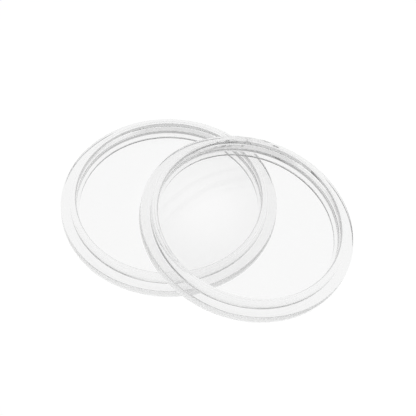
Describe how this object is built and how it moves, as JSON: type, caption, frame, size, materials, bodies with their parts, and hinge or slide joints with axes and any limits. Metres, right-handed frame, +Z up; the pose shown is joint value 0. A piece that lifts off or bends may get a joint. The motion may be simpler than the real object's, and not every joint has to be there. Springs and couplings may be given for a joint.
{
  "type": "coin capsule",
  "caption": "Round clear coin capsule, shown open: a base with a coin bore lies flat and its lid leans on the base's ring.",
  "frame": {"origin": "centre of the base half's underside, on the table", "axes": "+Z up along the base's axis; +X the way the leaning lid slopes down; the lid is shifted towards -Y"},
  "size_m": [0.0564, 0.0465, 0.0118],
  "materials": {
    "clear_base": "polished clear acrylic",
    "clear_lid": "polished clear acrylic"
  },
  "bodies": {
    "base": {"base_shell": "clear_base"},
    "lid": {"lid_shell": "clear_lid"}
  },
  "joints": [
    {"name": "lid_lift", "type": "slide", "parent": "base", "child": "lid", "axis": [0, 0, 1], "range_m": [0, 0.04]}
  ]
}
